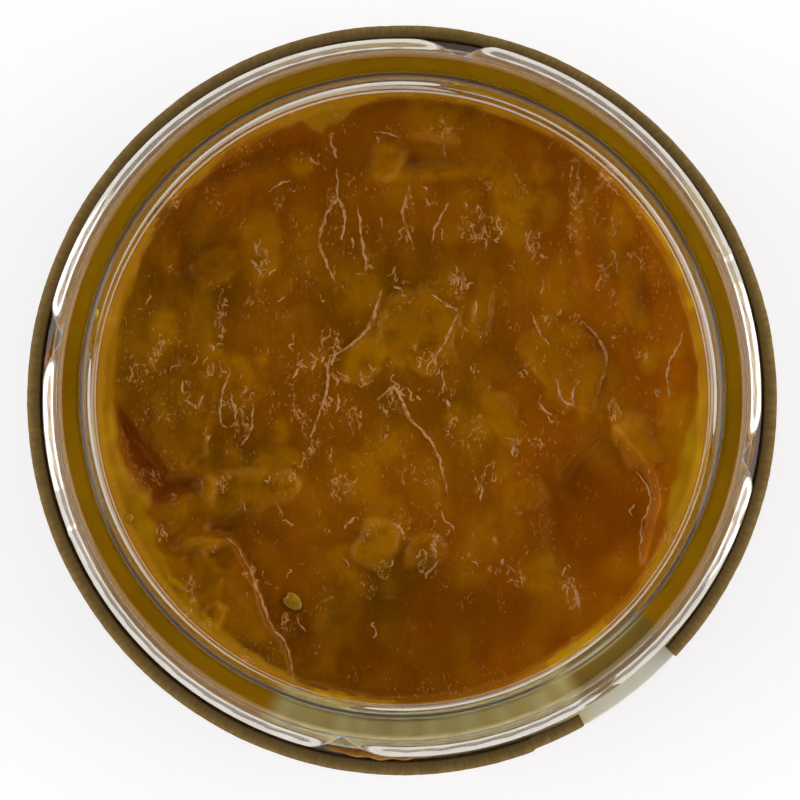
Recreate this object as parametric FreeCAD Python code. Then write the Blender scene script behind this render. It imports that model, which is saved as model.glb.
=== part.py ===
"""Open glass jar of chunky chili sauce with a wrap-round paper label.

Three pieces: the blown glass jar with its four-start lug finish, the sauce that
fills it, and the label glued round its side.  Sizes are in millimetres.  The
origin is the middle of the base on the table, +Z points out of the mouth, and
azimuths run anticlockwise from +X, seen from above.
"""

import FreeCAD, Part
import math
import os

# ---------------------------------------------------------------- glass body
JAR_HEIGHT = 83.0
BODY_DIAMETER = 66.5
SIDE_WALL = 2.2
BASE_THICKNESS = 3.4       # glass under the sauce, above the bearing plane
HEEL_RADIUS = 5.0          # outer corner between the side and the base
INNER_HEEL_RADIUS = 7.0
BEARING_WIDTH = 2.4        # flat ring that the jar stands on
PUSH_UP = 1.5              # how far the middle of the base is domed inwards

# -------------------------------------------------------------- glass finish
BORE_DIAMETER = 53.6
NECK_WALL = 2.9            # glass between the bore and the face the lugs stand on
RIM_INNER_ROUND = 1.5
RIM_OUTER_ROUND = 0.9
BEAD_STAND = 1.3           # transfer bead, proud of the neck wall
BEAD_DEPTH = 9.4           # bead's middle below the rim
BEAD_ROUND = 1.15          # half the bead's height
NECK_BELOW_BEAD = 1.35     # straight neck from the bead down to the shoulder
BORE_DEPTH = 9.0           # straight bore below the rim
SHOULDER_LAG = 2.0         # inner side wall starts this far below the outer one

# ---------------------------------------------------------------- lug ridges
LUG_COUNT = 4
LUG_STAND = 1.55           # crest above the neck wall
LUG_SPAN = 91.0            # degrees round the neck
LUG_FIRST_END = 80.0       # azimuth of the upper end of the first ridge
LUG_TOP_DEPTH = 2.7        # crest below the rim at the upper end
LUG_DROP = 3.6             # how far a ridge falls to its lower end
LUG_ROOT_HALF = 1.25       # half height where the ridge meets the neck
LUG_CREST_HALF = 0.5
LUG_BURY = 0.5             # how far the ridge's back lies inside the neck wall
LUG_RUN_IN = 0.10          # share of the span that fades in at the lower end
LUG_RUN_OUT = 0.06         # share that fades out at the upper end
LUG_SECTIONS = 15

# --------------------------------------------------------------------- sauce
FILL_DEPTH = 9.6           # mean level of the sauce below the rim
WALL_CLIMB = 1.5           # how much higher the sauce clings at the glass
WALL_CLIMB_REACH = 3.2     # how far in from the glass that cling fades
RELIEF_CELLS = 38          # squares of the relief patch along each side
RELIEF_MARGIN = 1.0        # how far the patch reaches past the inner side wall

# --------------------------------------------------------------------- label
LABEL_FOOT = 15.8          # label's lower edge above the bearing plane
LABEL_WRAP = 50.0          # degrees of the shoulder's curve that its top edge covers
LABEL_THICKNESS = 0.2      # paper and its glue
LABEL_GAP_FROM = 299.0     # bare glass between the label's two ends
LABEL_GAP_TO = 317.0

# ------------------------------------------------------- sizes worked out
BODY_R = BODY_DIAMETER / 2
BODY_INNER_R = BODY_R - SIDE_WALL
BORE_R = BORE_DIAMETER / 2
NECK_R = BORE_R + NECK_WALL
SHOULDER_R = BODY_R - NECK_R
SHOULDER_Z = JAR_HEIGHT - BEAD_DEPTH - BEAD_ROUND - NECK_BELOW_BEAD
SIDE_TOP_Z = SHOULDER_Z - SHOULDER_R
FILL_Z = JAR_HEIGHT - FILL_DEPTH
Z_AXIS = FreeCAD.Vector(0, 0, 1)
ORIGIN = FreeCAD.Vector(0, 0, 0)


def at(radius, z):
    """Point of the half profile, in the XZ plane."""
    return FreeCAD.Vector(radius, 0, z)


def line(start, end):
    return Part.LineSegment(start, end).toShape()


def arc(start, middle, end):
    return Part.Arc(start, middle, end).toShape()


def corner(centre, radius, from_degrees, to_degrees):
    """Arc of the profile about centre, between two angles from +X towards +Z."""
    points = []
    for share in (0.0, 0.5, 1.0):
        angle = math.radians(from_degrees + share * (to_degrees - from_degrees))
        points.append(centre + at(radius * math.cos(angle), radius * math.sin(angle)))
    return arc(*points)


def dome(foot, rise):
    """Arc centred on the axis, from its foot up to its crown over the axis."""
    radius = (foot.x * foot.x + rise * rise) / (2 * rise)
    centre = at(0, foot.z + rise - radius)
    foot_angle = math.degrees(math.acos(foot.x / radius))
    return corner(centre, radius, foot_angle, 90)


def s_curve(start, end):
    """Two equal tangent arcs that leave start and reach end upright."""
    rise, run = end.z - start.z, end.x - start.x
    radius = (rise * rise + run * run) / (4 * abs(run))
    sweep = math.degrees(2 * math.atan2(abs(run), abs(rise)))
    side = 1 if run > 0 else -1
    up = 1 if rise > 0 else -1
    first_centre = start + at(side * radius, 0)
    second_centre = end - at(side * radius, 0)
    towards_start = 180.0 if side > 0 else 0.0
    turn = -side * up * sweep
    first = corner(first_centre, radius, towards_start, towards_start + turn)
    towards_end = 180.0 - towards_start
    second = corner(second_centre, radius, towards_end + turn, towards_end)
    return [first, second]


def revolved(edges):
    """Solid of revolution about Z of a closed profile of edges."""
    face = Part.Face(Part.Wire(Part.__sortEdges__(edges)))
    return face.revolve(ORIGIN, Z_AXIS, 360)


# ---------------------------------------------------------------- glass jar
def outer_profile():
    """Base, heel, side, shoulder, bead and neck, from the axis to the rim."""
    bearing_outer = BODY_R - HEEL_RADIUS
    bearing_inner = bearing_outer - BEARING_WIDTH
    bead_z = JAR_HEIGHT - BEAD_DEPTH
    bead_top = at(NECK_R, bead_z + BEAD_ROUND)
    bead_foot = at(NECK_R, bead_z - BEAD_ROUND)
    return [
        dome(at(bearing_inner, 0), PUSH_UP),
        line(at(bearing_inner, 0), at(bearing_outer, 0)),
        corner(at(bearing_outer, HEEL_RADIUS), HEEL_RADIUS, -90, 0),
        line(at(BODY_R, HEEL_RADIUS), at(BODY_R, SIDE_TOP_Z)),
        corner(at(NECK_R, SIDE_TOP_Z), SHOULDER_R, 0, 90),
        line(at(NECK_R, SHOULDER_Z), bead_foot),
        arc(bead_foot, at(NECK_R + BEAD_STAND, bead_z), bead_top),
        line(bead_top, at(NECK_R, JAR_HEIGHT - RIM_OUTER_ROUND)),
    ]


def rim_profile():
    """Sealing land with its rounded edges, from the neck in to the bore."""
    outer = at(NECK_R - RIM_OUTER_ROUND, JAR_HEIGHT - RIM_OUTER_ROUND)
    inner = at(BORE_R + RIM_INNER_ROUND, JAR_HEIGHT - RIM_INNER_ROUND)
    return [
        corner(outer, RIM_OUTER_ROUND, 0, 90),
        line(at(outer.x, JAR_HEIGHT), at(inner.x, JAR_HEIGHT)),
        corner(inner, RIM_INNER_ROUND, 90, 180),
    ]


def inner_profile():
    """Bore, inner shoulder, side and floor, from the rim down to the axis."""
    bore_top = at(BORE_R, JAR_HEIGHT - RIM_INNER_ROUND)
    bore_foot = at(BORE_R, JAR_HEIGHT - BORE_DEPTH)
    side_top = at(BODY_INNER_R, SIDE_TOP_Z - SHOULDER_LAG)
    floor_r = BODY_INNER_R - INNER_HEEL_RADIUS
    heel = at(floor_r, BASE_THICKNESS + INNER_HEEL_RADIUS)
    return [
        line(bore_top, bore_foot),
        *s_curve(bore_foot, side_top),
        line(side_top, at(BODY_INNER_R, heel.z)),
        corner(heel, INNER_HEEL_RADIUS, 0, -90),
        dome(at(floor_r, BASE_THICKNESS), PUSH_UP),
    ]


def lug_section(share):
    """Ridge section, share of the way up a lug from its lower end."""
    fade_in = min(1.0, share / LUG_RUN_IN)
    fade_out = min(1.0, (1.0 - share) / LUG_RUN_OUT)
    height = math.sin(math.pi / 2 * min(fade_in, fade_out))
    azimuth = LUG_FIRST_END - LUG_SPAN * (1.0 - share)
    crest_z = JAR_HEIGHT - LUG_TOP_DEPTH - LUG_DROP * (1.0 - share)
    crest_r = NECK_R - LUG_BURY / 2 + (LUG_STAND + LUG_BURY / 2) * height
    crest_half = LUG_CREST_HALF * (0.4 + 0.6 * height)
    back_r = NECK_R - LUG_BURY
    corners = [
        at(back_r, crest_z - LUG_ROOT_HALF),
        at(crest_r, crest_z - crest_half),
        at(crest_r, crest_z + crest_half),
        at(back_r, crest_z + LUG_ROOT_HALF),
    ]
    section = Part.makePolygon(corners + corners[:1])
    section.rotate(ORIGIN, Z_AXIS, azimuth)
    return section


def lugs():
    """The lug ridges of the finish: one loft, repeated round the neck."""
    shares = [i / (LUG_SECTIONS - 1) for i in range(LUG_SECTIONS)]
    ends = [LUG_RUN_IN / 2, 1.0 - LUG_RUN_OUT / 2]
    sections = [lug_section(share) for share in sorted(shares + ends)]
    ridge = Part.makeLoft(sections, True, False)
    made = []
    for start in range(LUG_COUNT):
        turned = ridge.copy()
        turned.rotate(ORIGIN, Z_AXIS, 360.0 / LUG_COUNT * start)
        made.append(turned)
    return made


def glass_jar():
    """Blown jar: one revolved wall with its lug ridges."""
    axis_edge = line(at(0, BASE_THICKNESS + PUSH_UP), at(0, PUSH_UP))
    shell = revolved(outer_profile() + rim_profile() + inner_profile() + [axis_edge])
    return shell.fuse(lugs()).removeSplitter()


# -------------------------------------------------------------------- sauce
# Each lump or hollow is a smooth round or oval swelling of the surface:
# x, y, half length, half width, turn of its length in degrees, height.
SWELLINGS = {
    "middle slice": (-0.4, 5.3, 5.0, 4.6, 20, 1.5),
    "right slice": (14.8, 3.2, 4.9, 3.6, -58, 1.2),
    "lower slab": (0.2, -5.0, 5.6, 4.4, -65, 1.2),
    "square lump": (-1.2, -12.8, 2.6, 2.3, 30, 1.2),
    "small lump": (3.0, -13.2, 2.0, 1.8, 0, 1.0),
    "top berry": (-1.8, 20.8, 2.0, 1.8, 0, 1.1),
    "top bank": (-5.5, 24.2, 6.5, 2.4, 12, 1.8),
    "upper left mass": (-14.0, 13.0, 6.5, 5.0, 60, 0.9),
    "left bank": (-24.5, 2.5, 9.0, 2.2, 85, 1.9),
    "lower left heap": (-17.5, -15.5, 8.5, 4.6, -52, 2.0),
    "left tip": (-16.6, -8.4, 1.8, 1.3, 70, 1.2),
    "right bank": (24.0, -8.0, 8.0, 2.2, 78, 1.8),
    "upright strip": (19.6, 9.6, 3.2, 1.3, 85, 0.8),
    "left pit": (-21.6, -6.4, 4.6, 2.3, -58, -3.0),
    "notch": (-15.4, -11.0, 1.6, 1.0, 35, -1.4),
    "upper left valley": (-19.6, 13.4, 4.6, 2.0, 70, -1.7),
    "top valley": (-7.5, 20.6, 4.6, 2.0, 10, -1.3),
    "lower right pool": (18.0, -9.5, 5.6, 4.4, -60, -1.6),
    "bottom pool": (4.0, -21.0, 10.0, 4.0, 4, -1.0),
    "top right pool": (12.0, 18.0, 7.0, 4.4, -40, -0.7),
}


def swelling(x, y, middle_x, middle_y, half_length, half_width, turn, height):
    """Bell of the given height: flat on top, level past its half sizes."""
    angle = math.radians(turn)
    dx, dy = x - middle_x, y - middle_y
    along = (dx * math.cos(angle) + dy * math.sin(angle)) / half_length
    across = (dy * math.cos(angle) - dx * math.sin(angle)) / half_width
    return height * math.exp(-((along * along + across * across) ** 1.5))


def sauce_height(x, y):
    """Height of the sauce's surface above the base plane."""
    radius = math.hypot(x, y)
    from_wall = max(0.0, BORE_R - radius)
    climb = WALL_CLIMB * math.exp(-((from_wall / WALL_CLIMB_REACH) ** 2))
    ripple = 0.22 * math.sin(0.9 * x + 0.5 * y) + 0.18 * math.sin(0.75 * y - 1.1 * x)
    lumps = sum(swelling(x, y, *sizes) for sizes in SWELLINGS.values())
    return FILL_Z + climb + ripple + lumps


def space_above_sauce():
    """Block of air over the sauce, whose underside is the sauce's relief."""
    half = BODY_INNER_R + RELIEF_MARGIN
    step = 2 * half / RELIEF_CELLS
    places = [-half + step * i for i in range(RELIEF_CELLS + 1)]
    heights = [
        [FreeCAD.Vector(x, y, sauce_height(x, y)) for y in places] for x in places
    ]
    relief = Part.BSplineSurface()
    relief.interpolate(heights)
    return relief.toShape().extrude(FreeCAD.Vector(0, 0, JAR_HEIGHT))


def sauce():
    """Everything inside the jar up to the uneven surface of the sauce."""
    rim = at(BORE_R, JAR_HEIGHT - RIM_INNER_ROUND)
    lid = line(at(0, rim.z), rim)
    axis_edge = line(at(0, BASE_THICKNESS + PUSH_UP), at(0, rim.z))
    inside = revolved([lid] + inner_profile() + [axis_edge])
    return inside.cut(space_above_sauce())


# -------------------------------------------------------------------- label
def label():
    """Paper band glued to the side and a little way over the shoulder.

    Its section follows the glass; its two ends leave a strip of bare glass.
    """
    outer_r = BODY_R + LABEL_THICKNESS
    centre = at(NECK_R, SIDE_TOP_Z)
    top = math.radians(LABEL_WRAP)
    inner_top = centre + at(SHOULDER_R * math.cos(top), SHOULDER_R * math.sin(top))
    thick_r = SHOULDER_R + LABEL_THICKNESS
    outer_top = centre + at(thick_r * math.cos(top), thick_r * math.sin(top))
    edges = [
        line(at(BODY_R, LABEL_FOOT), at(outer_r, LABEL_FOOT)),
        line(at(outer_r, LABEL_FOOT), at(outer_r, SIDE_TOP_Z)),
        corner(centre, thick_r, 0, LABEL_WRAP),
        line(outer_top, inner_top),
        corner(centre, SHOULDER_R, LABEL_WRAP, 0),
        line(at(BODY_R, SIDE_TOP_Z), at(BODY_R, LABEL_FOOT)),
    ]
    section = Part.Face(Part.Wire(Part.__sortEdges__(edges)))
    section.rotate(ORIGIN, Z_AXIS, LABEL_GAP_TO)
    covered = 360.0 - (LABEL_GAP_TO - LABEL_GAP_FROM)
    return section.revolve(ORIGIN, Z_AXIS, covered)


def main():
    os.makedirs("parts", exist_ok=True)
    pieces = {"jar": glass_jar(), "sauce": sauce(), "label": label()}
    for name, shape in pieces.items():
        solid = shape.Solids[0] if len(shape.Solids) == 1 else shape
        solid.exportStep("parts/" + name + ".step")
        box = shape.BoundBox
        print(
            name,
            "valid", shape.isValid(),
            "solids", len(shape.Solids),
            "volume", round(shape.Volume, 1),
            "z", round(box.ZMin, 2), round(box.ZMax, 2),
        )


main()
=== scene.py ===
import bpy
import math

import numpy as np
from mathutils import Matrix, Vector


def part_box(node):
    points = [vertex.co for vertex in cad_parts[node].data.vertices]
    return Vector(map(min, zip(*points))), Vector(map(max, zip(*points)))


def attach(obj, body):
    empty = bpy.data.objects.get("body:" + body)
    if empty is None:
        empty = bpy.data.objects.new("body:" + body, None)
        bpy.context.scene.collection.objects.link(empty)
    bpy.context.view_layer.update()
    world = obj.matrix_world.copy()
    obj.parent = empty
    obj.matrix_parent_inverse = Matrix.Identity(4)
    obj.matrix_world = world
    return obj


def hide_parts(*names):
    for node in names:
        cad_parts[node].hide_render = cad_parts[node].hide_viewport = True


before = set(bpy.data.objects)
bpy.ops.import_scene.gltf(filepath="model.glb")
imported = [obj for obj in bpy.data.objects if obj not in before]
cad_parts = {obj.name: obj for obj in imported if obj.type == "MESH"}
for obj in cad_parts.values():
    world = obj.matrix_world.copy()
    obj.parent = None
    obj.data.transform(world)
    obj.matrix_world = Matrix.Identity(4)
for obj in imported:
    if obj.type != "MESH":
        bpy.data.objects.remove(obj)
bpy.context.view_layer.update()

mm = 0.001

# ------------------------------------------------------------------ glass jar
# Blown clear glass jar for a lug lid: straight side, round shoulder, neck with a
# bead and four sloping lug ridges, thick rim.  One wall, carried round the axis,
# with the seams that the two halves of the mould leave up its side.
jar_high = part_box("jar")[1]
jar_height = jar_high.z
body_r = jar_high.x
side_wall = 2.2 * mm
base_thickness = 3.4 * mm
push_up = 1.5 * mm
heel_r = 5.0 * mm
inner_heel_r = 7.0 * mm
bearing_width = 2.4 * mm
bore_r = 26.8 * mm
neck_r = bore_r + 2.9 * mm
rim_inner_round = 1.5 * mm
rim_outer_round = 0.9 * mm
bead_z = jar_height - 9.4 * mm
bead_stand = 1.3 * mm
bead_half = 1.15 * mm
shoulder_r = body_r - neck_r
shoulder_z = bead_z - bead_half - 1.35 * mm
side_top_z = shoulder_z - shoulder_r
bore_foot_z = jar_height - 9.0 * mm
shoulder_lag = 2.0 * mm
jar_steps = 480


def arc(centre_r, centre_z, radius, start, end, count):
    """Points on a circle of the profile: centre + radius at angles from start to end."""
    turn = np.radians(np.linspace(start, end, count))
    return np.stack([centre_r + radius * np.cos(turn), centre_z + radius * np.sin(turn)], axis=1)


def straight(start, end, count):
    """Evenly spaced points from start to end, both (radius, z)."""
    share = np.linspace(0.0, 1.0, count)[:, None]
    return np.array(start) * (1 - share) + np.array(end) * share


def dome(foot_r, foot_z, rise, count):
    """Arc centred on the axis, from its foot up to its crown over the axis."""
    radius = (foot_r**2 + rise**2) / (2 * rise)
    foot_turn = math.degrees(math.acos(foot_r / radius))
    return arc(0.0, foot_z + rise - radius, radius, foot_turn, 90.0, count)


def joined(*stretches):
    """One profile from stretches that share their end points, without the doubles."""
    points = np.concatenate(stretches)
    gap = np.linalg.norm(np.diff(points, axis=0), axis=1)
    return points[np.concatenate([[True], gap > 1e-7])]


def inner_wall(grow=0.0):
    """Inside of the jar from the rim down to the axis, pushed grow into the glass.

    Straight bore, two tangent arcs out to the side, straight side, heel and domed floor.
    """
    side_r = body_r - side_wall
    inner_top_z = side_top_z - shoulder_lag
    run, rise = side_r - bore_r, bore_foot_z - inner_top_z
    curve_r = (rise**2 + run**2) / (4 * run)
    sweep = math.degrees(2 * math.atan2(run, rise))
    floor_r = side_r - inner_heel_r
    heel_z = base_thickness + inner_heel_r
    return joined(
        straight((bore_r + grow, jar_height - rim_inner_round), (bore_r + grow, bore_foot_z), 10),
        arc(bore_r + curve_r, bore_foot_z, curve_r - grow, 180, 180 + sweep, 11),
        arc(side_r - curve_r, inner_top_z, curve_r + grow, sweep, 0, 11),
        straight((side_r + grow, inner_top_z), (side_r + grow, heel_z), 12),
        arc(floor_r, heel_z, inner_heel_r + grow, 0, -90, 10),
        dome(floor_r, base_thickness - grow, push_up, 8),
    )


def outer_wall():
    """Outside of the jar from the axis under the base up to the rim and into the bore."""
    bearing_outer = body_r - heel_r
    bearing_inner = bearing_outer - bearing_width
    bead_r = (bead_stand**2 + bead_half**2) / (2 * bead_stand)
    bead_turn = math.degrees(math.asin(bead_half / bead_r))
    return joined(
        dome(bearing_inner, 0.0, push_up, 10)[::-1],
        straight((bearing_inner, 0.0), (bearing_outer, 0.0), 4),
        arc(bearing_outer, heel_r, heel_r, -90, 0, 10),
        straight((body_r, heel_r), (body_r, side_top_z), 9),
        arc(neck_r, side_top_z, shoulder_r, 0, 90, 16),
        straight((neck_r, shoulder_z), (neck_r, bead_z - bead_half), 3),
        arc(neck_r + bead_stand - bead_r, bead_z, bead_r, -bead_turn, bead_turn, 9),
        straight((neck_r, bead_z + bead_half), (neck_r, jar_height - rim_outer_round), 34),
        arc(neck_r - rim_outer_round, jar_height - rim_outer_round, rim_outer_round, 0, 90, 8),
        arc(bore_r + rim_inner_round, jar_height - rim_inner_round, rim_inner_round, 90, 180, 12),
    )


lug_count = 4
lug_stand = 1.55 * mm
lug_span = 91.0
lug_first_end = 80.0
lug_top_z = jar_height - 2.7 * mm
lug_drop = 3.6 * mm
lug_half = 1.0 * mm
lug_run_in = 0.10
lug_run_out = 0.06
seam_turns = (23.8, 202.4)
seam_half = 0.45
seam_stand = 0.07 * mm


def jar_relief(turn, z, r):
    """How far lug ridges and mould seams stand out at azimuth turn (degrees) and height z.

    A ridge climbs evenly over its span; its section is a flat-topped bell, and it fades
    in as a quarter sine at its low end and out at its high end.  A seam is a narrow bell.
    """
    stand = np.zeros(np.broadcast(turn, z).shape)
    for start in range(lug_count):
        end = lug_first_end + 360.0 / lug_count * start
        share = 1.0 - np.mod(end - turn, 360.0) / lug_span
        fade = np.clip(np.minimum(share / lug_run_in, (1.0 - share) / lug_run_out), 0.0, 1.0)
        crest = lug_top_z - lug_drop * (1.0 - share)
        bell = np.exp(-np.abs((z - crest) / lug_half) ** 3.2)
        stand = np.maximum(stand, lug_stand * np.sin(math.pi / 2 * fade) * bell)
    stand = np.where((np.abs(r - neck_r) < 1e-6) & (z > bead_z), stand, 0.0)
    for seam in seam_turns:
        off = (turn - seam + 180.0) % 360.0 - 180.0
        outside = (r >= neck_r - 1e-6) & (z > heel_r)
        stand = stand + np.where(outside, seam_stand * np.exp(-((off / seam_half) ** 2)), 0.0)
    return stand


def turned_surface(name, profile, steps, relief=None):
    """Closed surface of a profile carried round the axis, with a pole at each end.

    relief(azimuth in degrees, z, radius) is added to the radius.
    """
    turn = np.arange(steps) * 360.0 / steps
    ring_r = np.repeat(profile[1:-1, 0][:, None], steps, axis=1)
    ring_z = np.repeat(profile[1:-1, 1][:, None], steps, axis=1)
    if relief is not None:
        ring_r = ring_r + relief(turn[None, :], ring_z, ring_r)
    x = ring_r * np.cos(np.radians(turn))
    y = ring_r * np.sin(np.radians(turn))
    rings = np.stack([x, y, ring_z], axis=-1).reshape(-1, 3)
    poles = np.array([[0, 0, profile[0, 1]], [0, 0, profile[-1, 1]]])
    rows = len(profile) - 2
    index = np.arange(rows * steps).reshape(rows, steps)
    beside = np.roll(index, -1, axis=1)
    quads = np.stack([index[:-1], beside[:-1], beside[1:], index[1:]], axis=-1).reshape(-1, 4)
    first, last = rows * steps, rows * steps + 1
    start_fan = np.stack([np.full(steps, first), beside[0], index[0]], axis=-1)
    end_fan = np.stack([np.full(steps, last), index[-1], beside[-1]], axis=-1)
    faces = quads.tolist() + start_fan.tolist() + end_fan.tolist()
    return new_piece(name, np.concatenate([rings, poles]), faces)


def new_piece(name, verts, faces):
    """Smooth-shaded object of that name with these vertices and faces."""
    mesh = bpy.data.meshes.new(name)
    mesh.from_pydata(verts.tolist(), [], faces)
    mesh.polygons.foreach_set("use_smooth", np.ones(len(mesh.polygons), dtype=bool))
    mesh.update()
    piece = bpy.data.objects.new(name, mesh)
    bpy.context.scene.collection.objects.link(piece)
    return piece


def add_node(tree, kind, inputs=(), **settings):
    """New shader node; inputs pairs a socket's name or number with a value or an output."""
    node = tree.nodes.new(kind)
    for name, value in settings.items():
        setattr(node, name, value)
    for name, value in dict(inputs).items():
        if isinstance(value, bpy.types.NodeSocket):
            tree.links.new(value, node.inputs[name])
        else:
            node.inputs[name].default_value = value
    return node


def new_material(name, values):
    """Material whose Principled shader has the given plain values; returns it with its tree."""
    material = bpy.data.materials.new(name)
    material.use_nodes = True
    shader = material.node_tree.nodes["Principled BSDF"]
    for socket, value in values.items():
        shader.inputs[socket].default_value = value
    return material, material.node_tree, shader


def speckle_group():
    """Node group: noise of a given size, cut to a soft mask between Low and High."""
    group = bpy.data.node_groups.new("soft_speckle", "ShaderNodeTree")
    face = group.interface
    for name, kind, value in (("Vector", "NodeSocketVector", None), ("Size", "NodeSocketFloat", 1.0),
                              ("Detail", "NodeSocketFloat", 2.0), ("Low", "NodeSocketFloat", 0.4),
                              ("High", "NodeSocketFloat", 0.6)):
        socket = face.new_socket(name, in_out="INPUT", socket_type=kind)
        if value is not None:
            socket.default_value = value
    face.new_socket("Mask", in_out="OUTPUT", socket_type="NodeSocketFloat")
    entry = group.nodes.new("NodeGroupInput")
    scale = add_node(group, "ShaderNodeMath", {0: 1000.0, 1: entry.outputs["Size"]}, operation="DIVIDE")
    noise = add_node(group, "ShaderNodeTexNoise", {
        "Vector": entry.outputs["Vector"], "Scale": scale.outputs[0], "Detail": entry.outputs["Detail"]})
    cut = add_node(group, "ShaderNodeMapRange", {
        "Value": noise.outputs["Fac"], "From Min": entry.outputs["Low"],
        "From Max": entry.outputs["High"]}, interpolation_type="SMOOTHSTEP")
    leave = group.nodes.new("NodeGroupOutput")
    group.links.new(cut.outputs["Result"], leave.inputs["Mask"])
    return group


soft_speckle = speckle_group()


def speckle(tree, vector, size, detail, low, high):
    """Mask of noise with features about size millimetres across."""
    node = add_node(tree, "ShaderNodeGroup", node_tree=soft_speckle)
    tree.links.new(vector, node.inputs["Vector"])
    for name, value in (("Size", size), ("Detail", detail), ("Low", low), ("High", high)):
        node.inputs[name].default_value = value
    return node.outputs["Mask"]


def blend_colour(tree, share, first, second):
    """Colour mixed from first to second by share; each is a plain colour or an output."""
    node = add_node(tree, "ShaderNodeMix", {0: share, 6: first, 7: second}, data_type="RGBA")
    return node.outputs[2]


def product(tree, first, second):
    """Product of two values, each a number or an output."""
    return add_node(tree, "ShaderNodeMath", {0: first, 1: second}, operation="MULTIPLY").outputs[0]


def stretched(tree, scale):
    """Object coordinates stretched by scale, so that a pattern lies along one direction."""
    place = tree.nodes.new("ShaderNodeTexCoord").outputs["Object"]
    return add_node(tree, "ShaderNodeMapping", {"Vector": place, "Scale": scale}).outputs["Vector"]


jar_profile = joined(outer_wall(), inner_wall())
glass_jar = turned_surface("glass_jar", jar_profile, jar_steps, jar_relief)

glass_tint = (0.90, 0.91, 0.88, 1)
# painted shade: darker, warmer tint for the glass of the finish
finish_shade_tint = (0.66, 0.60, 0.50, 1)
finish_shade_foot_z = 70.0 * mm
finish_shade_full_z = 72.5 * mm
finish_shade_thinnest = 0.55
clear_glass, glass_tree, glass_shader = new_material("clear_glass", {
    "Base Color": glass_tint, "Roughness": 0.0, "IOR": 1.52, "Transmission Weight": 1.0})
glass_place = glass_tree.nodes.new("ShaderNodeTexCoord").outputs["Object"]
glass_ripple = add_node(glass_tree, "ShaderNodeBump", {
    "Strength": 0.5, "Distance": 0.05 * mm,
    "Height": speckle(glass_tree, glass_place, 7.0, 1.0, 0.3, 0.7)})
glass_tree.links.new(glass_ripple.outputs["Normal"], glass_shader.inputs["Normal"])

# painted shade: the glass of the finish is tinted darker and warmer, in streaks that run round it
glass_level = add_node(glass_tree, "ShaderNodeSeparateXYZ", {"Vector": glass_place}).outputs["Z"]
on_finish = add_node(glass_tree, "ShaderNodeMapRange", {
    "Value": glass_level, "From Min": finish_shade_foot_z, "From Max": finish_shade_full_z}).outputs["Result"]
finish_shade_streaks = speckle(glass_tree, stretched(glass_tree, (1.0, 1.0, 6.0)), 3.0, 3.0, 0.30, 0.70)
finish_shade_depth = add_node(glass_tree, "ShaderNodeMapRange", {
    "Value": finish_shade_streaks, "To Min": finish_shade_thinnest, "To Max": 1.0}).outputs["Result"]
finish_shade_share = product(glass_tree, on_finish, finish_shade_depth)
glass_tree.links.new(blend_colour(glass_tree, finish_shade_share, glass_tint, finish_shade_tint),
                     glass_shader.inputs["Base Color"])
glass_jar.data.materials.append(clear_glass)
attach(glass_jar, "root")
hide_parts("jar")

# ---------------------------------------------------------------------- sauce
# Chili sauce: wet orange-brown pulp, soft chunks under a glossy gel, up to the neck.
# One closed body: a grid over the whole disc on top, a side that lies just in the
# glass, and a fan below.  The top is glossy; the side lies wet on the glass.
fill_level = jar_height - 9.6 * mm
into_glass = 0.06 * mm
sauce_cells = 240
top_r = bore_r + into_glass


def disc_grid(cells, radius):
    """Even grid over a disc: each square ring of a square grid is bent to a circle.

    The larger of |u| and |v| becomes the radius and the smaller one the angle.
    """
    side = np.linspace(-1.0, 1.0, cells + 1)
    u, v = np.meshgrid(side, side, indexing="ij")
    wide = np.abs(u) >= np.abs(v)
    lead = np.where(wide, u, v)
    other = np.where(wide, v, u)
    turn = math.pi / 4 * other / np.where(lead == 0, 1.0, lead)
    x = np.where(wide, lead * np.cos(turn), lead * np.sin(turn))
    y = np.where(wide, lead * np.sin(turn), lead * np.cos(turn))
    return x * radius, y * radius


def wander(x, y, cell, seed):
    """Smooth random field between about -1 and 1: gradient noise on a lattice of side cell."""
    lean = np.random.default_rng(seed).uniform(0, 2 * math.pi, (160, 160))
    u, v = x / cell + 80.0, y / cell + 80.0
    column, row = np.floor(u).astype(int), np.floor(v).astype(int)
    du, dv = u - column, v - row
    ease_u = du**3 * (du * (6 * du - 15) + 10)
    ease_v = dv**3 * (dv * (6 * dv - 15) + 10)
    total = 0.0
    for right in (0, 1):
        for up in (0, 1):
            angle = lean[(column + right) % 160, (row + up) % 160]
            slope = np.cos(angle) * (du - right) + np.sin(angle) * (dv - up)
            share = (ease_u if right else 1 - ease_u) * (ease_v if up else 1 - ease_v)
            total = total + slope * share
    return 1.5 * total


def ease(value):
    """Smooth step: 0 below 0, 1 above 1, level at both ends."""
    value = np.clip(value, 0.0, 1.0)
    return value * value * (3 - 2 * value)


def along(x, y, points):
    """Distance to a path of points in mm, share of its length, and side (+1 is left)."""
    path = np.array(points) * mm
    steps = np.diff(path, axis=0)
    lengths = np.linalg.norm(steps, axis=1)
    starts = np.concatenate([[0.0], np.cumsum(lengths)])
    nearest, share, side = np.full(x.shape, 1e9), np.zeros(x.shape), np.ones(x.shape)
    for (px, py), (sx, sy), length, start in zip(path, steps, lengths, starts):
        t = np.clip(((x - px) * sx + (y - py) * sy) / length**2, 0.0, 1.0)
        dx, dy = x - px - t * sx, y - py - t * sy
        distance = np.hypot(dx, dy)
        closer = distance < nearest
        nearest = np.where(closer, distance, nearest)
        share = np.where(closer, (start + t * length) / starts[-1], share)
        side = np.where(closer, np.where(sx * dy - sy * dx >= 0, 1.0, -1.0), side)
    return nearest, share, side


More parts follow.
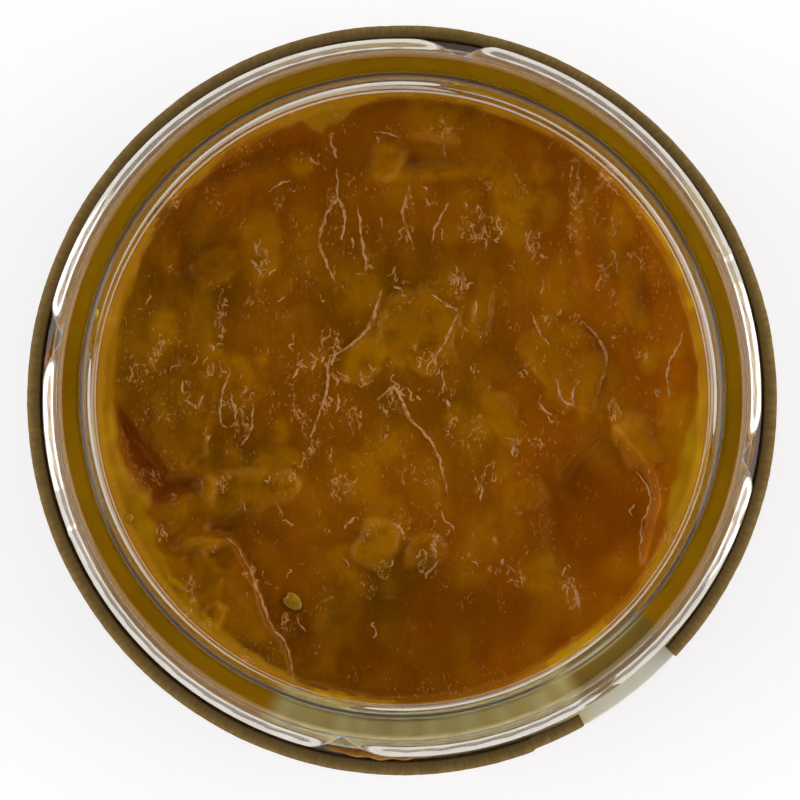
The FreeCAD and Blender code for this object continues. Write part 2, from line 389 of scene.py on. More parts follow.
class SauceTop:
    """The sauce's surface while it is built up: its height and its masks over the grid."""

    def __init__(self, x, y):
        self.x, self.y = x, y
        self.z = np.zeros(x.shape)
        self.pulp = np.zeros(x.shape)
        # darker, redder gel where it lies deep, and painted shade in creases and round chunks
        self.depth_and_shade = np.zeros(x.shape)
        self.calm = np.zeros(x.shape)
        self.crumple = np.zeros(x.shape)
        self.wobble = 1 + 0.18 * wander(x, y, 1.9 * mm, 3) + 0.07 * wander(x, y, 0.7 * mm, 4)
        self.ragged = 1 + 0.3 * wander(x, y, 1.5 * mm, 5)

    def oval(self, cx, cy, half_x, half_y, turn, reach):
        """Points within reach times an oval at cx, cy (mm), and their places in it, +-1 at its ends."""
        angle = math.radians(turn)
        dx, dy = self.x - cx * mm, self.y - cy * mm
        near = np.hypot(dx, dy) < reach * max(half_x, half_y) * mm
        dx, dy = dx[near], dy[near]
        a = (dx * math.cos(angle) + dy * math.sin(angle)) / (half_x * mm)
        b = (dy * math.cos(angle) - dx * math.sin(angle)) / (half_y * mm)
        return near, a, b

    def chunk(self, cx, cy, half_x, half_y, turn, rise, pulp=0.5, square=2.4, lean=0.0, edge=0.9,
              shade=0.35):
        """Piece of pulp: a nearly flat superellipse that rises within edge mm of its outline.

        It is lighter than the gel, and painted shade darkens parts of its outline beside the gel.
        """
        near, a, b = self.oval(cx, cy, half_x, half_y, turn, 2.2 + 1.2 / max(half_x, half_y))
        out = (np.abs(a) ** square + np.abs(b) ** square) ** (1 / square) * self.wobble[near]
        inset = (1 - out) * min(half_x, half_y)
        self.z[near] += (rise * mm * ease(inset / edge + 0.5) * (1 + lean * a)
                         * (1 - 0.3 * np.minimum(out, 1) ** 2))
        cover = ease(inset / (0.9 * edge) + 0.6)
        self.pulp[near] += cover * (pulp - self.pulp[near])
        self.depth_and_shade[near] *= 1 - 0.7 * cover
        # painted shade in the crease along parts of the outline
        gap = shade * np.exp(-(((inset + 0.4) / 0.45) ** 2)) * ease(self.ragged[near] - 0.6)
        self.depth_and_shade[near] = np.maximum(self.depth_and_shade[near], gap)

    def hollow(self, points, half, depth, depth_and_shade=1.0, soft=0.8):
        """Trough along a path; half lists its half widths from start to end, mm.  Inside, the sauce is darker
        and redder: deeper gel and painted shade.
        """
        distance, share, _ = along(self.x, self.y, points)
        widths = np.interp(share, np.linspace(0, 1, len(half)), half) * mm * self.ragged
        self.z -= depth * mm * ease((widths - distance) / (soft * mm) + 0.5)
        inside = ease((widths - distance) / (1.6 * soft * mm) + 0.6)
        self.depth_and_shade = np.maximum(self.depth_and_shade, depth_and_shade * inside)
        self.pulp *= 1 - 0.9 * inside

    def ledge(self, points, rise, reach, edge=0.5, depth_and_shade=0.0):
        """Step along a path: its left side stands up by rise mm and eases off over reach mm, and painted
        shade darkens its low side.
        """
        distance, share, side = along(self.x, self.y, points)
        ends = ease(share / 0.15) * ease((1 - share) / 0.15)
        signed = distance * side
        high = ease(0.5 + signed / (edge * mm)) * np.exp(-(np.maximum(signed, 0) / (reach * mm)) ** 2)
        low = ease(0.5 - signed / (edge * mm)) * np.exp(-(np.minimum(signed, 0) / (reach * mm)) ** 2)
        self.z += rise * mm * ends * (0.6 * high - 0.4 * low)
        self.depth_and_shade = np.maximum(self.depth_and_shade, depth_and_shade * ends * low)

    def pool(self, cx, cy, half_x, half_y, turn, depth, depth_and_shade=0.4, calm=0.9):
        """Place where thin sauce has run together: lower, smooth, and darker as deeper gel with painted
        shade.
        """
        near, a, b = self.oval(cx, cy, half_x, half_y, turn, 1.6)
        inside = ease(1.5 - np.hypot(a, b))
        self.z[near] -= depth * mm * inside
        self.depth_and_shade[near] = np.maximum(self.depth_and_shade[near], depth_and_shade * inside)
        self.calm[near] = np.maximum(self.calm[near], calm * inside)

    def crumpled(self, cx, cy, half_x, half_y, turn=90.0, share=1.0):
        """Ragged patch where the skin on the pulp is crumpled into tiny folds, with painted highlights on
        them.
        """
        near, a, b = self.oval(cx, cy, half_x, half_y, turn, 2.0)
        inside = np.exp(-((np.hypot(a, b) / 1.2 * self.wobble[near] ** 2) ** 4))
        self.crumple[near] = np.maximum(self.crumple[near], share * inside)


grid_x, grid_y = disc_grid(sauce_cells, top_r)
top = SauceTop(grid_x, grid_y)
top.z += 0.50 * mm * wander(grid_x, grid_y, 8.5 * mm, 11)
top.z += 0.22 * mm * wander(grid_x, grid_y, 3.9 * mm, 12)

# smooth places
top.pool(17.5, -11.0, 5.5, 5.0, -60, 0.9, 0.45)
top.pool(3.0, -21.5, 10.5, 3.8, 4, 0.7, 0.3)
top.pool(-9.5, -13.5, 4.5, 3.2, -55, 0.5, 0.25, 0.6)
top.pool(-1.0, 14.5, 3.0, 3.4, 0, 0.35, 0.3, 0.5)
top.pool(2.0, 21.8, 3.0, 1.3, 0, 0.5, 0.6, 0.6)
top.pool(7.5, 13.0, 3.2, 2.6, 30, 0.3, 0.1, 0.5)

# loose pieces of pulp, spread evenly over the disc, flatter in the pools; sizes in mm
loose_chunks = 190
loose_reach = 25.6
chunk_draw = np.random.default_rng(41)
for _ in range(loose_chunks):
    spot_r = loose_reach * math.sqrt(chunk_draw.random())
    spot = chunk_draw.uniform(0, 2 * math.pi)
    chunk_x, chunk_y = spot_r * math.cos(spot), spot_r * math.sin(spot)
    length = 0.7 + 2.6 * chunk_draw.random() ** 1.6
    width = length * chunk_draw.uniform(0.35, 0.9)
    nearest = np.argmin((grid_x - chunk_x * mm) ** 2 + (grid_y - chunk_y * mm) ** 2)
    stir = 1 - 0.85 * top.calm.flat[nearest]
    top.chunk(chunk_x, chunk_y, length, width, chunk_draw.normal(80, 40),
              stir * chunk_draw.uniform(0.04, 0.22), stir * chunk_draw.random() ** 1.5,
              chunk_draw.uniform(2.0, 3.0), chunk_draw.uniform(-0.6, 0.6), chunk_draw.uniform(0.7, 2.0),
              stir * chunk_draw.uniform(0.0, 0.4))

# slices, strips and lumps that stand out: x, y, half length, half width, turn, rise,
# lightness, squareness, lean
for lump in (
    (-19.4, -1.6, 4.4, 2.6, 82, 0.5, 0.45),
    (1.4, 5.9, 3.8, 3.3, 70, 0.45, 0.7, 2.2, 0.3),
    (-3.2, 3.5, 2.2, 1.5, 60, 0.25, 0.9),
    (1.6, 6.0, 2.4, 2.0, 40, -0.12, 0.55),
    (14.3, 3.2, 4.2, 3.0, -60, 0.4, 0.6, 2.2, 0.3),
    (-1.3, 20.9, 1.7, 1.35, 70, 0.55, 0.95),
    (3.3, 19.9, 4.2, 0.5, 4, 0.3, 0.7, 3.5),
    (-14.1, -8.5, 1.9, 1.5, 10, 0.35, 0.6, 3.0),
    (-14.1, -6.8, 2.5, 0.45, 0, 0.4, 0.8, 4.0),
    (-10.4, -7.9, 1.5, 1.3, 30, 0.4, 0.7),
    (-16.9, -8.0, 1.2, 0.7, 80, 0.7, 1.0),
    (-17.3, -12.8, 1.7, 0.7, 12, 0.7, 1.0, 1.5, 0.4),
    (-18.2, -15.6, 3.2, 2.0, -50, 0.5, 0.6),
    (-16.5, -18.9, 1.1, 0.95, 60, 0.5, 0.95),
    (-2.2, -12.8, 2.2, 1.8, 60, 0.5, 0.9, 3.0),
    (2.3, -13.3, 1.6, 1.5, 0, 0.4, 0.4),
    (20.6, -3.6, 2.6, 1.5, -60, 0.6, 0.9),
    (20.0, 9.4, 2.6, 0.8, 85, 0.4, 0.6),
    (-12.6, 13.4, 3.4, 1.8, 80, 0.35, 0.6),
    (-16.4, 11.5, 2.2, 1.6, 30, 0.3, 0.5),
    (-4.0, -7.0, 2.8, 1.9, -50, 0.3, 0.4),
    (9.0, -1.8, 2.4, 1.2, -70, 0.3, 0.6),
    (7.2, 8.4, 2.6, 0.9, 80, 0.3, 0.6),
    (10.8, -8.6, 1.8, 1.4, 20, 0.25, 0.5),
):
    top.chunk(*lump)

top.hollow([(-25.0, -1.2), (-23.6, -4.6), (-21.3, -8.0), (-18.8, -7.6)], [0.3, 1.0, 1.4, 0.7], 0.9, 0.9, 1.4)
top.hollow([(-18.2, 17.6), (-19.7, 15.0), (-19.4, 11.4)], [0.8, 1.0, 0.7], 0.4, 0.5, 2.0)
top.hollow([(-16.5, 19.8), (-12.0, 22.0), (-8.4, 22.6)], [0.5, 0.7, 0.8], 0.4, 0.6, 1.8)
top.hollow([(-16.6, -11.3), (-15.2, -11.4)], [0.5, 0.6], 0.4, 0.8, 1.0)
top.hollow([(-14.2, -12.8), (-12.8, -16.2), (-11.6, -19.6)], [0.5, 0.7, 0.4], 0.2, 0.45, 1.4)

top.ledge([(18.3, -2.3), (20.2, -4.6), (22.1, -7.0), (22.4, -9.0), (21.4, -12.6), (20.9, -15.5)],
          0.8, 4.0, 0.8, 0.45)
top.ledge([(18.3, -2.3), (16.9, -3.8), (15.3, -5.4), (13.5, -7.6)], -0.5, 3.5, 1.0, 0.3)
top.ledge([(-9.6, -25.0), (-10.1, -22.0), (-11.7, -19.8), (-12.6, -17.2), (-13.4, -15.2),
           (-14.4, -13.3), (-15.5, -12.1)], 0.6, 4.0, 0.6, 0.4)
top.ledge([(4.0, -8.6), (3.4, -5.7), (2.4, -3.5), (0.6, -1.6), (-1.4, -0.4)], -0.3, 2.5, 0.6)
top.ledge([(-1.8, 9.5), (-2.8, 6.4), (-4.6, 4.5), (-6.4, 3.6), (-6.5, 0.9), (-8.0, -3.5)],
          0.3, 3.0, 0.6, 0.2)

stirred = 1 - 0.7 * top.calm
top.z += 0.05 * mm * wander(grid_x, grid_y * 0.6, 1.2 * mm, 21) * stirred

# patches of tiny folds that carry painted highlights: x, y, half length, half width, turn
for fold in (
    (-6.1, 17.6, 1.4, 0.5), (-3.1, 14.5, 1.2, 0.45), (0.7, 16.3, 2.2, 0.5), (7.2, 15.2, 1.9, 1.5, 0.0),
    (5.1, 10.1, 1.1, 0.8), (11.7, 13.2, 1.4, 0.7), (15.4, 19.0, 2.2, 0.9), (3.8, 23.8, 1.0, 0.7),
    (-5.9, 4.0, 0.9, 0.6), (-1.2, -0.2, 1.1, 0.9), (-4.1, -2.1, 1.2, 0.7), (9.9, 6.4, 0.6, 0.5),
    (10.7, 2.6, 0.7, 0.4), (3.1, -13.1, 1.4, 0.7), (1.7, -14.7, 0.7, 0.4), (8.2, -15.1, 0.7, 0.5, 0.0),
    (-14.2, -2.0, 2.0, 0.8), (-15.8, 7.3, 1.4, 0.6), (-21.7, 4.6, 1.5, 0.7), (18.5, 8.6, 1.0, 0.5),
    (21.3, 3.3, 1.6, 0.5), (14.9, -17.3, 1.4, 0.6), (-12.4, 12.2, 1.8, 0.6), (-8.6, 3.6, 1.4, 0.6),
    (14.6, -0.6, 0.8, 0.6), (-18.4, -16.5, 1.2, 0.7), (-9.4, -6.6, 1.0, 0.6), (6.6, -2.6, 1.2, 0.5),
):
    top.crumpled(*fold)
loose_folds = 170
fold_draw = np.random.default_rng(23)
for _ in range(loose_folds):
    fold_x, fold_y = fold_draw.uniform(-24, 24, 2)
    calm_there = top.calm.flat[np.argmin((grid_x - fold_x * mm) ** 2 + (grid_y - fold_y * mm) ** 2)]
    fold_size = 0.4 + 1.1 * fold_draw.random() ** 2.5
    top.crumpled(fold_x, fold_y, fold_size, fold_size * fold_draw.uniform(0.35, 0.8),
                 fold_draw.normal(88, 25), 1 - 0.8 * calm_there)

# the lighter band that clings to the glass: (azimuth, width in mm), and how high its
# edge is smeared up the bore: (azimuth, height in mm)
band_width = ((0, 1.3), (6, 1.0), (16, 0.9), (31, 0.5), (60, 0.3), (70, 0.7), (85, 0.2), (94, 0.5),
              (99, 1.5), (104, 3.0), (107, 3.1), (110, 1.3), (121, 0.6), (126, 0.6), (131, 1.1),
              (139, 0.3), (143, 0.3), (150, 1.1), (161, 1.6), (180, 2.0), (190, 2.2), (201, 3.8),
              (212, 2.4), (225, 1.8), (240, 1.4), (252, 0.5), (262, 0.6), (272, 0.2), (290, 0.2),
              (300, 0.9), (309, 0.9), (314, 0.3), (325, 0.8), (333, 1.4), (342, 2.8), (350, 2.6))
smear_height = ((0, 0.6), (14, 0.6), (18, 1.8), (27, 1.6), (31, 2.2), (38, 2.0), (42, 0.5), (90, 0.5),
                (100, 1.2), (128, 0.6), (160, 0.7), (166, 1.6), (172, 0.8), (205, 0.8), (252, 0.8),
                (254, 2.2), (260, 2.0), (264, 0.6), (278, 1.2), (281, 0.5), (296, 0.6), (300, 2.6),
                (309, 2.4), (314, 0.7), (330, 1.0))
grid_turn = np.degrees(np.arctan2(grid_y, grid_x)) % 360
grid_r = np.hypot(grid_x, grid_y)
wall_x, wall_y = np.cos(np.radians(grid_turn)) * bore_r, np.sin(np.radians(grid_turn)) * bore_r
width = np.interp(grid_turn, *zip(*band_width), period=360) * mm
width *= 1 + 0.3 * wander(grid_x, grid_y, 1.9 * mm, 31)
band = np.clip((grid_r - (top_r - width)) / width, 0.0, 1.0)
smear = np.interp(grid_turn, *zip(*smear_height), period=360) * mm
smear *= 0.8 + 0.3 * wander(wall_x, wall_y, 1.3 * mm, 32)
top.z += 0.25 * mm * ease(band * 1.4) + 0.2 * mm * band**2
top.z += smear * np.exp(-(((top_r - grid_r) / (0.4 * mm)) ** 2))
top.depth_and_shade *= 1 - ease(band * 2.2)
top.wall = ease(band * 4.0 - 0.7)
top.pulp = np.maximum(top.pulp, top.wall * ease((smear - 1.2 * mm) / (0.5 * mm)))
lowest_edge = bore_foot_z + 0.4 * mm - fill_level
top.z = np.where(grid_r > top_r - 0.2 * mm, np.maximum(top.z, lowest_edge), top.z)
top.z += fill_level


pale_turns = (245.0, 304.0)
dull_turns = (299.0, 319.0)
olive_above = 69.6
tint_fades_from = 62.0
# painted light and shade on the sauce behind the glass of the shoulder, brighter than the sauce's own colour
shoulder_olive_painted_lit = np.array([0.570, 0.285, 0.0008])
shoulder_painted_bright = np.array([0.800, 0.460, 0.0040])
shoulder_painted_pale = np.array([0.840, 0.750, 0.3600])
gap_painted_grey = np.array([0.700, 0.660, 0.5000])
gap_painted_dull = np.array([0.340, 0.225, 0.0400])


def lining_painted_light(verts):
    """Colour of the sauce where it lies on the glass of the shoulder, with its weight as alpha.

    These tones are painted light and shade for the light that the glass lets in: olive
    above olive_above and brighter below; whitish with streaks within pale_turns; grey and
    dull behind the label's gap.  The weight falls from 1 to 0 over the last 3 mm down to
    tint_fades_from.
    """
    z = verts[:, 2] / mm
    degrees = np.degrees(np.arctan2(verts[:, 1], verts[:, 0])) % 360
    low = ease((olive_above - z) / 1.6)[:, None]
    streaks = wander(degrees * mm * 0.54, verts[:, 2] * 0.5, 1.5 * mm, 51)
    pale = ease((degrees - pale_turns[0]) / 5) * ease((pale_turns[1] - degrees) / 3)
    pale = (pale * np.clip(0.85 + 0.35 * streaks, 0, 1))[:, None]
    gap = (ease((degrees - dull_turns[0]) / 4) * ease((dull_turns[1] - degrees) / 2))[:, None]
    tone = shoulder_olive_painted_lit + (shoulder_painted_bright - shoulder_olive_painted_lit) * low
    tone = tone + (shoulder_painted_pale - tone) * pale
    tone = tone + (gap_painted_dull + (gap_painted_grey - gap_painted_dull) * low - tone) * gap
    return np.concatenate([tone, ease((z - tint_fades_from) / 3)[:, None]], axis=1)


def sauce_body(name, x, y, z, masks):
    """Closed body: the top grid, rings down the inside of the glass and a fan below.

    masks are the top's pulp, its depth and painted shade, wall, and the places of painted
    highlights.  On the plain side between heel and shoulder, every third ring is kept.
    """
    n = x.shape[0]
    index = np.arange(n * n).reshape(n, n)
    top_faces = np.stack([index[:-1, :-1], index[1:, :-1], index[1:, 1:], index[:-1, 1:]], axis=-1)
    rim = np.concatenate([index[:-1, 0], index[-1, :-1], index[:0:-1, -1], index[0, :0:-1]])
    lining = inner_wall(into_glass)
    lining = lining[lining[:, 1] < bore_foot_z + 0.1 * mm][:-1]
    plain_side = (lining[:, 1] > 11 * mm) & (lining[:, 1] < 60 * mm)
    lining = lining[~plain_side | (np.arange(len(lining)) % 3 == 0)]
    turn = np.arctan2(y.flat[rim], x.flat[rim])
    r, level = lining[:, :1], lining[:, 1:] * np.ones_like(turn)
    rings = np.stack([r * np.cos(turn), r * np.sin(turn), level], axis=-1).reshape(-1, 3)
    foot = np.array([[0.0, 0.0, base_thickness + push_up - into_glass]])
    verts = np.concatenate([np.stack([x.ravel(), y.ravel(), z.ravel()], axis=-1), rings, foot])
    loops = np.concatenate([rim[None, :], n * n + np.arange(len(rings)).reshape(len(lining), -1)])
    beside = np.roll(loops, -1, axis=1)
    side_faces = np.stack([loops[:-1], loops[1:], beside[1:], beside[:-1]], axis=-1).reshape(-1, 4)
    fan = np.stack([loops[-1], np.full(len(rim), len(verts) - 1), beside[-1]], axis=-1)
    faces = top_faces.reshape(-1, 4).tolist() + side_faces.tolist() + fan.tolist()
    piece = new_piece(name, verts, faces)
    piece.data.polygons.foreach_set("material_index", (np.arange(len(faces)) >= (n - 1) ** 2).astype(int))
    values = np.zeros((len(verts), 4))
    values[:n * n] = np.clip(np.stack([mask.ravel() for mask in masks], axis=-1), 0.0, 1.0)
    marks = piece.data.attributes.new("sauce_masks", "FLOAT_COLOR", "POINT")
    marks.data.foreach_set("color", values.ravel())
    tint = piece.data.attributes.new("lining_painted_light", "FLOAT_COLOR", "POINT")
    tint.data.foreach_set("color", lining_painted_light(verts).ravel())
    return piece


# the last mask places the painted highlights
sauce = sauce_body("sauce", grid_x, grid_y, top.z, (
    top.pulp, top.depth_and_shade, top.wall, np.maximum(top.crumple, 0.5 * stirred)))


olive_brown = (0.160, 0.056, 0.0003, 1)
orange_brown = (0.252, 0.071, 0.0003, 1)
amber = (0.375, 0.094, 0.0004, 1)
pulp_yellow = (0.420, 0.170, 0.0008, 1)
# darker, redder tone for deep gel, also used as painted shade in creases
deep_and_shaded_red = (0.200, 0.040, 0.0003, 1)
wall_yellow = (0.350, 0.155, 0.0006, 1)
wall_pulp = (0.470, 0.250, 0.0010, 1)
# painted highlights: the tan of the sauce's gleams
painted_gleam_tan = (0.600, 0.280, 0.0750, 1)


def sauce_tone(tree):
    """Sauce without its pieces: olive to orange brown in blotches, more amber towards +X."""
    place = tree.nodes.new("ShaderNodeTexCoord").outputs["Object"]
    broad = speckle(tree, place, 14.0, 2.0, 0.38, 0.62)
    mottle = speckle(tree, stretched(tree, (1.0, 0.6, 1.0)), 4.5, 3.0, 0.45, 0.75)
    tone = blend_colour(tree, broad, olive_brown, orange_brown)
    warped = add_node(tree, "ShaderNodeTexNoise", {"Vector": place, "Scale": 0.2 / mm}).outputs[0]
    across_jar = add_node(tree, "ShaderNodeSeparateXYZ", {0: place}).outputs["X"]
    drift = add_node(tree, "ShaderNodeMath", {0: warped, 1: 20 * mm, 2: across_jar},
                     operation="MULTIPLY_ADD").outputs[0]
    towards_right = add_node(tree, "ShaderNodeMapRange", {
        "Value": drift, "From Min": 10 * mm, "From Max": 34 * mm}, interpolation_type="SMOOTHSTEP").outputs[0]
    tone = blend_colour(tree, product(tree, towards_right, 0.8), tone, amber)
    return blend_colour(tree, product(tree, mottle, 0.5), tone, pulp_yellow)


def contour(tree, vector, size, detail, half_width):
    """Mask of thin curls and loops: 1 where a noise of this size (mm) is near its middle value."""
    level = add_node(tree, "ShaderNodeTexNoise", {
        "Vector": vector, "Scale": 1 / (size * mm), "Detail": detail, "Distortion": 0.4}).outputs[0]
    away = add_node(tree, "ShaderNodeMath", {0: level, 1: 0.5}, operation="SUBTRACT").outputs[0]
    distance = add_node(tree, "ShaderNodeMath", {0: away}, operation="ABSOLUTE").outputs[0]
    return add_node(tree, "ShaderNodeMapRange", {
        "Value": distance, "From Min": 0.3 * half_width, "From Max": half_width, "To Min": 1.0,
        "To Max": 0.0}, interpolation_type="SMOOTHSTEP").outputs["Result"]


sauce_paste, paste_tree, paste = new_material("sauce_paste", {
    "IOR": 1.36, "Specular Tint": (1.0, 0.52, 0.12, 1),
    "Subsurface Weight": 0.3, "Subsurface Radius": (1.0, 0.45, 0.1), "Subsurface Scale": 1.2 * mm})
paste_place = paste_tree.nodes.new("ShaderNodeTexCoord").outputs["Object"]
paste_masks = add_node(paste_tree, "ShaderNodeAttribute", attribute_name="sauce_masks").outputs
pulp_mask, depth_and_shade_mask, wall_mask = add_node(
    paste_tree, "ShaderNodeSeparateColor", {0: paste_masks["Color"]}).outputs
upright = stretched(paste_tree, (1.0, 0.6, 1.0))
pulp_grain = speckle(paste_tree, paste_place, 1.8, 3.0, 0.2, 0.6)
lighter = product(paste_tree, product(paste_tree, pulp_mask, pulp_grain), 0.8)
colour = blend_colour(paste_tree, lighter, sauce_tone(paste_tree), pulp_yellow)
wall_tone = blend_colour(paste_tree, pulp_mask, wall_yellow, wall_pulp)
colour = blend_colour(paste_tree, wall_mask, colour, wall_tone)
# darker and redder where the gel lies deep; painted shade in creases and round chunks
colour = blend_colour(paste_tree, depth_and_shade_mask, colour, deep_and_shaded_red)
# painted highlights: tan curls, dots and fine glints, placed by the masks' alpha
curls = contour(paste_tree, upright, 0.7, 3.0, 0.050)
in_patch = add_node(paste_tree, "ShaderNodeMapRange", {
    "Value": paste_masks["Alpha"], "From Min": 0.55, "From Max": 0.80}).outputs["Result"]
broken = speckle(paste_tree, upright, 1.1, 1.0, 0.36, 0.50)
dots = speckle(paste_tree, upright, 0.26, 1.0, 0.58, 0.68)
dot_places = speckle(paste_tree, paste_place, 2.4, 1.5, 0.52, 0.62)
bright = speckle(paste_tree, paste_place, 0.5, 1.0, 0.25, 0.60)
curl_mask = product(paste_tree, product(paste_tree, curls, broken), in_patch)
dot_mask = product(paste_tree, product(paste_tree, dots, dot_places), paste_masks["Alpha"])
gleam = add_node(paste_tree, "ShaderNodeMath", {0: curl_mask, 1: dot_mask}, operation="MAXIMUM").outputs[0]
# fine painted glints over the stirred sauce
fine_glints = speckle(paste_tree, upright, 0.34, 2.0, 0.50, 0.74)
fine_glints = product(paste_tree, product(paste_tree, fine_glints, paste_masks["Alpha"]), 0.16)
gleam = product(paste_tree, gleam, bright)
gleam = add_node(paste_tree, "ShaderNodeMath", {0: gleam, 1: fine_glints}, operation="MAXIMUM").outputs[0]
# the painted highlights are blended into the sauce's colour
colour = blend_colour(paste_tree, product(paste_tree, gleam, 0.95), colour, painted_gleam_tan)
paste_tree.links.new(colour, paste.inputs["Base Color"])
gloss = add_node(paste_tree, "ShaderNodeMapRange", {"Value": wall_mask, "To Min": 0.18, "To Max": 0.50})
paste_tree.links.new(gloss.outputs["Result"], paste.inputs["Roughness"])
paste_grain = add_node(paste_tree, "ShaderNodeBump", {
    "Strength": 1.0, "Distance": 0.012 * mm, "Height": speckle(paste_tree, paste_place, 0.6, 2.0, 0.0, 1.0)})
paste_folds = add_node(paste_tree, "ShaderNodeBump", {
    "Strength": 1.0, "Distance": 0.06 * mm, "Height": gleam, "Normal": paste_grain.outputs["Normal"]})
paste_tree.links.new(paste_folds.outputs["Normal"], paste.inputs["Normal"])

sauce_at_glass, lining_tree, lining_shader = new_material("sauce_at_glass", {
    "Roughness": 0.5, "IOR": 1.06, "Subsurface Weight": 0.6, "Subsurface Radius": (1.0, 0.7, 0.2),
    "Subsurface Scale": 4.0 * mm})
# the lining's painted light and shade replaces the sauce's tone by its weight
tint = add_node(lining_tree, "ShaderNodeAttribute", attribute_name="lining_painted_light").outputs
lining_tone = blend_colour(lining_tree, tint["Alpha"], sauce_tone(lining_tree), tint["Color"])
lining_tree.links.new(lining_tone, lining_shader.inputs["Base Color"])
sauce.data.materials.append(sauce_paste)
sauce.data.materials.append(sauce_at_glass)
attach(sauce, "root")
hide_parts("sauce")

# -------------------------------------------------------------- pulp threads
# Thin wet threads of pepper and edges of skin that lie half sunk along the sauce and
# catch the light.  Each is a tapered tube that follows the surface under it.
thread_sides = 6
thread_step = 0.10 * mm


def surface_z(x, y):
    """Height of the sauce at x, y: disc_grid is turned back to its square, then read between points."""
    r, turn = np.hypot(x, y) / top_r, np.arctan2(y, x)
    wide = np.abs(x) >= np.abs(y)
    lead = np.where(wide, np.sign(x), np.sign(y)) * np.minimum(r, 1.0)
    ratio = np.where(wide, np.arctan2(y * np.sign(x), np.abs(x)), np.arctan2(x * np.sign(y), np.abs(y)))
    other = lead * ratio * 4 / math.pi
    u = (np.where(wide, lead, other) + 1) / 2 * sauce_cells
    v = (np.where(wide, other, lead) + 1) / 2 * sauce_cells
    i, j = (np.clip(np.floor(w).astype(int), 0, sauce_cells - 1) for w in (u, v))
    du, dv = u - i, v - j
    z = top.z
    return ((z[i, j] * (1 - dv) + z[i, j + 1] * dv) * (1 - du)
            + (z[i + 1, j] * (1 - dv) + z[i + 1, j + 1] * dv) * du)


def smooth_path(points, step):
    """Points every step along a curve through the given ones, whose slope at each is the
    mean of its neighbours' (Catmull-Rom)."""
    given = np.array(points, dtype=float)
    padded = np.concatenate([2 * given[:1] - given[1:2], given, 2 * given[-1:] - given[-2:-1]])
    pieces = []
    for a, b, c, d in zip(padded, padded[1:], padded[2:], padded[3:]):
        count = max(2, int(np.linalg.norm(c - b) / step))
        t = np.linspace(0, 1, count, endpoint=False)[:, None]
        pieces.append(0.5 * (2 * b + (c - a) * t + (2 * a - 5 * b + 4 * c - d) * t**2
                             + (3 * b - 3 * c + d - a) * t**3))
    return np.concatenate(pieces + [given[-1:]])


def thread(points, half, seed, stray=0.12):
    """Tube of radius half (mm) along points (mm): thickest in the middle, strayed sideways."""
    flat = smooth_path(np.array(points) * mm, thread_step)
    start = np.full(len(flat), seed * 1.7 * mm)
    length = np.arange(len(flat)) * thread_step
    for size, share in ((0.8 * mm, 1.0), (0.3 * mm, 0.4)):
        flat[:, 0] += share * stray * mm * wander(length, start, size, 61)
        flat[:, 1] += share * stray * mm * wander(length, start, size, 62)
    share = np.linspace(0, 1, len(flat))
    thick = half * mm * np.clip(np.sin(math.pi * share), 0.02, 1) ** 0.4
    thick = thick * (0.9 + 0.5 * wander(length, start, 0.7 * mm, 63)
                     + 0.4 * wander(length, start, 0.3 * mm, 64))
    along_x, along_y = np.gradient(flat[:, 0]), np.gradient(flat[:, 1])
    size = np.hypot(along_x, along_y) + 1e-9
    across = np.stack([-along_y / size, along_x / size, np.zeros(len(flat))], axis=-1)
    middle = np.stack([flat[:, 0], flat[:, 1], surface_z(flat[:, 0], flat[:, 1])], axis=-1)
    turn = np.arange(thread_sides) * 2 * math.pi / thread_sides
    ring = (across[:, None, :] * np.cos(turn)[None, :, None]
            + np.array([0.0, 0.0, 0.4]) * np.sin(turn)[None, :, None])
    verts = (middle[:, None, :] + ring * thick[:, None, None]).reshape(-1, 3)
    index = np.arange(len(verts)).reshape(len(flat), thread_sides)
    beside = np.roll(index, -1, axis=1)
    faces = np.stack([index[:-1], index[1:], beside[1:], beside[:-1]], axis=-1).reshape(-1, 4).tolist()
    return verts, faces + [index[0].tolist(), index[-1, ::-1].tolist()]


def gathered(parts):
    """Vertices and faces of many parts as one mesh."""
    verts, faces, base = [], [], 0
    for part_verts, part_faces in parts:
        verts.append(part_verts)
        faces += [[base + corner for corner in face] for face in part_faces]
        base += len(part_verts)
    return np.concatenate(verts), faces


